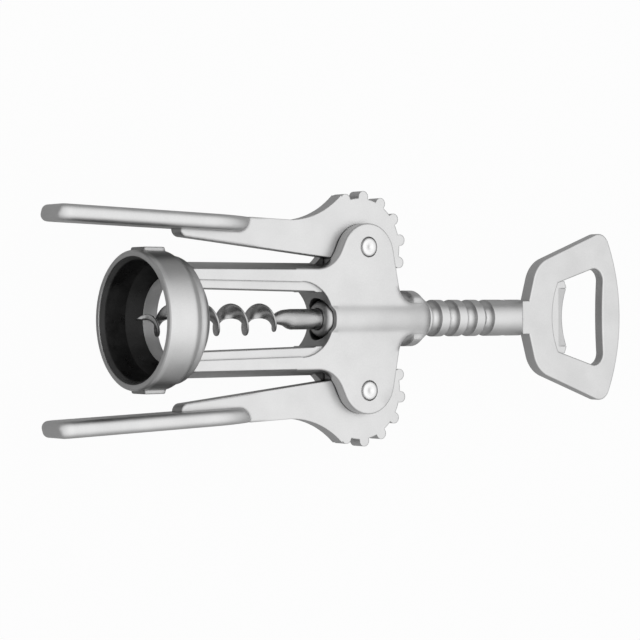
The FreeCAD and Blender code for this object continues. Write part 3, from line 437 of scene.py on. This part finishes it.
def make_pin(node, material):
    low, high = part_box(node)
    middle = (low + high) / 2
    levels = [(radius * MM, high.z - depth * MM) for radius, depth in PIN_END]
    levels = [(radius, 2 * middle.z - z) for radius, z in reversed(levels)] + levels
    rings = []
    for r, z in levels:
        rings.append([(middle.x + r * math.cos(t), middle.y + r * math.sin(t), z) for t in turns(PIN_SIDES)])
    pin = solid(node.replace("pivot_pin", "rivet"), rings)
    smooth_below(pin, PIN_CRISP_ANGLE)
    pin.data.materials.append(material)
    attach(pin, "frame")
    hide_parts(node)


# ---------------------------------------------------------------------------------------------
# Materials: shades and roughness from 0 to 1
# ---------------------------------------------------------------------------------------------
# The noise texture's values lie mostly between these two
NOISE_LOW = 0.3
NOISE_HIGH = 0.7

CAST_SHADE = 0.68
CAST_ROUGHNESS = 0.38
# Edges rounded in the shading: in general, on the bell and the handles, and on the barrel
BEVEL_SAMPLES = 6
EDGE_SOFTNESS = 0.45 * MM
BELL_SOFTNESS = 1.3 * MM
BARREL_SOFTNESS = 2.4 * MM
# How far a surface has to face up or down to count as a side or a front, and the painted shade that darkens
# the colour of the flanks, deeper on the bell's ring
FLANK_FACING = 0.4
FRONT_FACING = 0.98
FLANK_PAINTED_SHADE = 0.72
BELL_FLANK_PAINTED_SHADE = 0.36
# Fades, from where to where: the radius of the bell's wall, its ends along X, and the handles' inner side
BELL_WALL = (14.0 * MM, 14.6 * MM)
BELL_FRONT = (1.2 * MM, 2.0 * MM)
BELL_BACK = (15.6 * MM, 16.4 * MM)
BELL_REACH = 19.35 * MM
HANDLE_SIDE = (19.4 * MM, 20.4 * MM)
HANDLE_END = 43.0 * MM
HANDLE_FADE = 4.0 * MM
BARREL_SIDE = (8.5 * MM, 9.5 * MM)
BARREL_START = 63.0 * MM
BARREL_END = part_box("frame")[1][0]
COLLAR_START = 89.0 * MM
# Machined throat of the bell, with rings cut round it, and the painted shade that darkens its colour inside
# the bore
THROAT_RADIUS = 13.4 * MM
THROAT_END = 16.2 * MM
THROAT_PAINTED_SHADE = 0.88
# Painted shade in recesses and gaps between parts: how far they look for a wall, how open they are where
# dark and where not, and how dark the shade gets
RECESS_REACH = 6.0 * MM
RECESS_SAMPLES = 4
RECESS_CLOSED = 0.08
RECESS_OPEN = 0.55
RECESS_PAINTED_SHADE = 0.12
# Polished edges: cosine between the rounded and the true normal where the wear starts and is full
WEAR_START = 0.99
WEAR_FULL = 0.8
WEAR_GLOSS = 0.06

WORM_SHADE = 0.45
WORM_ROUGHNESS = 0.29
WORM_STRETCH = (0.25, 1, 1)

PIN_SHADE = 0.83
PIN_ROUGHNESS = 0.26
PIN_DENT_RADIUS = 1.3 * MM
PIVOT_X = 74.0 * MM
PIVOT_Y = 20.006 * MM

LINER_SHADE = 0.008
LINER_ROUGHNESS = 0.36
LINER_SPECULAR = 0.3
LINER_STRETCH = (1, 1, 0.6)
LIP_START = 1.1 * MM
LIP_END = 1.9 * MM
LIP_PALER = 0.035


class Finish:
    """A procedural material in the making."""

    def __init__(self, name):
        self.material = bpy.data.materials.new(name)
        self.material.use_nodes = True
        self.tree = self.material.node_tree
        self.shader = self.tree.nodes["Principled BSDF"]
        self.place = self.add("TexCoord")

    def add(self, kind, settings=None, **inputs):
        """A node of a kind, with its settings and what goes into it."""
        node = self.tree.nodes.new("ShaderNode" + kind)
        for key, setting in (settings or {}).items():
            setattr(node, key, setting)
        for key, value in inputs.items():
            self.feed(node.inputs[key.replace("_", " ")], value)
        return node

    def feed(self, socket, value):
        if isinstance(value, bpy.types.NodeSocket):
            self.tree.links.new(value, socket)
        else:
            socket.default_value = value

    def give(self, name, value):
        """Gives the shader a value or the result of a node."""
        self.feed(self.shader.inputs[name], value)

    def work(self, operation, *values):
        """Result of an operation on one or two values."""
        node = self.tree.nodes.new("ShaderNodeMath")
        node.operation = operation
        for socket, value in zip(node.inputs, values):
            self.feed(socket, value)
        return node.outputs["Value"]

    def times(self, first, second):
        return self.work("MULTIPLY", first, second)

    def distance(self, first, second):
        """Length of the diagonal over two sides."""
        squares = self.work("ADD", self.work("POWER", first, 2.0), self.work("POWER", second, 2.0))
        return self.work("SQRT", squares)

    def span(self, value, low, high, to_low, to_high, smooth=False):
        """Maps a value from one range to another, held at the ends."""
        settings = {"interpolation_type": "SMOOTHSTEP"} if smooth else None
        ranges = {"From_Min": low, "From_Max": high, "To_Min": to_low, "To_Max": to_high}
        return self.add("MapRange", settings, Value=value, **ranges).outputs["Result"]

    def after(self, value, start, end):
        """0 up to the start and 1 from the end on."""
        return self.span(value, start, end, 0.0, 1.0)

    def before(self, value, start, end):
        """1 up to the start and 0 from the end on."""
        return self.span(value, start, end, 1.0, 0.0)

    def between(self, value, start, end):
        """1 between the start and the end, and 0 elsewhere."""
        return self.times(self.work("GREATER_THAN", value, start), self.work("LESS_THAN", value, end))

    def noise(self, scale, detail, stretch=(1, 1, 1)):
        """Noise in the piece's own space, stretched along its axes."""
        along = self.add("Mapping", Vector=self.place.outputs["Object"], Scale=stretch)
        node = self.add("TexNoise", Vector=along.outputs["Vector"], Scale=scale, Detail=detail)
        return node.outputs["Fac"]

    def vary(self, noise, low, high):
        """Noise as a value that goes from a low to a high one."""
        return self.span(noise, NOISE_LOW, NOISE_HIGH, low, high)

    def axes(self, output):
        parts = self.add("SeparateXYZ", Vector=self.place.outputs[output])
        return parts.outputs["X"], parts.outputs["Y"], parts.outputs["Z"]

    def grey(self, shade):
        """Colour of the shader from a shade of grey."""
        joined = self.add("CombineXYZ", X=shade, Y=shade, Z=shade)
        self.give("Base Color", joined.outputs["Vector"])

    def rounded(self, radius):
        """Normal of the surface as if its edges were rounded."""
        return self.add("Bevel", {"samples": BEVEL_SAMPLES}, Radius=radius).outputs["Normal"]

    def mix(self, share, first, second):
        """Vector that goes from the first to the second with a share."""
        node = self.add("Mix", {"data_type": "VECTOR"}, Factor=share)
        vectors = [socket for socket in node.inputs if socket.type == "VECTOR" and socket.name in "AB"]
        self.feed(vectors[0], first)
        self.feed(vectors[1], second)
        return next(socket for socket in node.outputs if socket.type == "VECTOR")

    def bump(self, height, depth, strength, normal=None):
        node = self.add("Bump", Height=height, Distance=depth, Strength=strength)
        if normal:
            self.feed(node.inputs["Normal"], normal)
        return node.outputs["Normal"]


def cast_finish(name):
    """Satin plated casting: fine grain, cloudy tone, painted shade on the flanks, in recesses and inside the
    bore, soft and slightly polished edges.
    """
    finish = Finish(name)
    finish.give("Metallic", 1.0)
    grain = finish.noise(scale=2600.0, detail=2.0)
    cloud = finish.noise(scale=120.0, detail=4.0)
    x, y, z = finish.axes("Object")
    out = finish.axes("Normal")[2]
    radius = finish.distance(y, z)
    fine = finish.rounded(EDGE_SOFTNESS)
    broad = finish.rounded(BELL_SOFTNESS)
    blended = finish.rounded(BARREL_SOFTNESS)

    # Shares of the places that differ: bell, its ring, handles and barrel
    outside = finish.times(finish.after(radius, *BELL_WALL), finish.after(x, *BELL_FRONT))
    on_bell = finish.times(outside, finish.before(x, *BELL_BACK))
    on_ring = finish.times(on_bell, finish.work("LESS_THAN", radius, BELL_REACH))
    # Painted shade: flanks get a darker colour than fronts, darker still on the bell's ring
    painted_flank_shade = finish.span(on_ring, 0.0, 1.0, FLANK_PAINTED_SHADE, BELL_FLANK_PAINTED_SHADE)
    painted_facing_shade = finish.span(finish.work("ABSOLUTE", out), FLANK_FACING, FRONT_FACING, painted_flank_shade, 1.0, smooth=True)
    on_handle = finish.after(finish.work("ABSOLUTE", y), *HANDLE_SIDE)
    on_handle = finish.times(on_handle, finish.before(x, HANDLE_END - HANDLE_FADE, HANDLE_END))
    on_barrel = finish.before(finish.work("ABSOLUTE", y), *BARREL_SIDE)
    on_barrel = finish.times(on_barrel, finish.between(x, BARREL_START, BARREL_END))

    # Rounded edges, and how worn they are
    soft = finish.mix(finish.work("MAXIMUM", on_bell, on_handle), fine, broad)
    soft = finish.mix(on_barrel, soft, blended)
    sharp = finish.add("NewGeometry").outputs["Normal"]
    turn = finish.add("VectorMath", {"operation": "DOT_PRODUCT"})
    finish.feed(turn.inputs[0], soft)
    finish.feed(turn.inputs[1], sharp)
    worn = finish.span(turn.outputs["Value"], WEAR_START, WEAR_FULL, 0.0, 1.0)

    # Tone: cloud and grain, with painted shade on the flanks, inside the bore and in recesses
    tone = finish.times(finish.vary(cloud, 0.95, 1.05), painted_facing_shade)
    tone = finish.times(tone, finish.vary(grain, 0.97, 1.03))
    # Painted shade: darker colour inside the bore of the bell
    near_axis = finish.work("LESS_THAN", radius, THROAT_RADIUS)
    inside = finish.times(near_axis, finish.work("LESS_THAN", x, THROAT_END))
    tone = finish.times(tone, finish.span(inside, 0.0, 1.0, 1.0, THROAT_PAINTED_SHADE))
    # Painted shade: colour darkened in recesses and gaps between parts, but not on the collar
    openness = finish.add("AmbientOcclusion", {"samples": RECESS_SAMPLES}, Distance=RECESS_REACH)
    painted_recess_shade = finish.span(openness.outputs["AO"], RECESS_CLOSED, RECESS_OPEN, RECESS_PAINTED_SHADE, 1.0, smooth=True)
    on_collar = finish.between(x, COLLAR_START, BARREL_END)
    tone = finish.times(tone, finish.work("MAXIMUM", painted_recess_shade, on_collar))
    finish.grey(finish.times(tone, CAST_SHADE))

    # Gloss and grain
    rough = finish.work("ADD", finish.vary(cloud, -0.03, 0.03), finish.vary(grain, -0.04, 0.04))
    rough = finish.work("ADD", rough, CAST_ROUGHNESS)
    finish.give("Roughness", finish.work("SUBTRACT", rough, finish.times(worn, WEAR_GLOSS)))
    rings = finish.noise(scale=9000.0, detail=2.0, stretch=(1, 0, 0))
    turned = finish.bump(finish.times(rings, inside), depth=0.12 * MM, strength=0.8, normal=soft)
    finish.give("Normal", finish.bump(grain, depth=0.015 * MM, strength=0.5, normal=turned))
    return finish.material


def steel_finish(name):
    """Bright drawn steel with fine streaks."""
    finish = Finish(name)
    finish.give("Metallic", 1.0)
    streaks = finish.noise(scale=1500.0, detail=3.0, stretch=WORM_STRETCH)
    cloud = finish.noise(scale=200.0, detail=3.0)
    finish.grey(finish.vary(cloud, WORM_SHADE * 0.93, WORM_SHADE * 1.05))
    finish.give("Roughness", finish.vary(streaks, WORM_ROUGHNESS - 0.05, WORM_ROUGHNESS + 0.07))
    finish.give("Normal", finish.bump(streaks, depth=0.004 * MM, strength=0.3))
    return finish.material


def pin_finish(name):
    """Turned end of a pivot pin: rings about the pin's own axis and a shallow dent in the middle."""
    finish = Finish(name)
    finish.give("Metallic", 1.0)
    x, y = finish.axes("Object")[:2]
    along = finish.work("SUBTRACT", x, PIVOT_X)
    aside = finish.work("SUBTRACT", finish.work("ABSOLUTE", y), PIVOT_Y)
    radius = finish.distance(along, aside)
    ring = finish.add("CombineXYZ", X=radius).outputs["Vector"]
    rings = finish.add("TexNoise", Vector=ring, Scale=5000.0, Detail=2.0).outputs["Fac"]
    dent = finish.span(radius, 0.0, PIN_DENT_RADIUS, 0.0, 1.0, smooth=True)
    finish.grey(finish.vary(rings, PIN_SHADE * 0.88, PIN_SHADE * 1.05))
    finish.give("Roughness", finish.vary(rings, PIN_ROUGHNESS - 0.04, PIN_ROUGHNESS + 0.06))
    hollow = finish.bump(dent, depth=0.12 * MM, strength=1.0)
    finish.give("Normal", finish.bump(rings, depth=0.02 * MM, strength=0.6, normal=hollow))
    return finish.material


def plastic_finish(name):
    """Black moulded plastic: mottled gloss, paler at its lip."""
    finish = Finish(name)
    x = finish.axes("Object")[0]
    finish.give("Specular IOR Level", LINER_SPECULAR)
    cloud = finish.noise(scale=160.0, detail=5.0, stretch=LINER_STRETCH)
    grain = finish.noise(scale=2800.0, detail=2.0)
    lip = finish.span(x, LIP_START, LIP_END, 1.0, 0.0, smooth=True)
    # The colour is paler at the lip
    paler_lip = finish.times(lip, LIP_PALER)
    finish.grey(finish.work("ADD", paler_lip, finish.vary(cloud, LINER_SHADE * 0.8, LINER_SHADE * 1.4)))
    finish.give("Roughness", finish.vary(cloud, LINER_ROUGHNESS - 0.2, LINER_ROUGHNESS + 0.2))
    wavy = finish.bump(cloud, depth=0.7 * MM, strength=0.7)
    finish.give("Normal", finish.bump(grain, depth=0.02 * MM, strength=0.4, normal=wavy))
    return finish.material


def dress(material, *nodes):
    for node in nodes:
        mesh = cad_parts[node].data
        mesh.materials.clear()
        mesh.materials.append(material)


make_camera()
make_world()
make_floor()
make_lamp("key_lamp", LAMP_PLACE, LAMP_TARGET, LAMP_SIZE, LAMP_POWER)

cast = cast_finish("satin_cast")
dress(cast, "frame", "left_lever", "right_lever", "ring_rack", "opener_head")
steel = steel_finish("worm_steel")
dress(steel, "worm")
make_worm(steel)
pins = pin_finish("pin_steel")
dress(pins, "left_pivot_pin", "right_pivot_pin", "cross_pin")
make_pin("left_pivot_pin", pins)
make_pin("right_pivot_pin", pins)
make_casting(cast)
dress(plastic_finish("liner_black"), "bell_liner")

bpy.context.scene.view_settings.view_transform = "Standard"
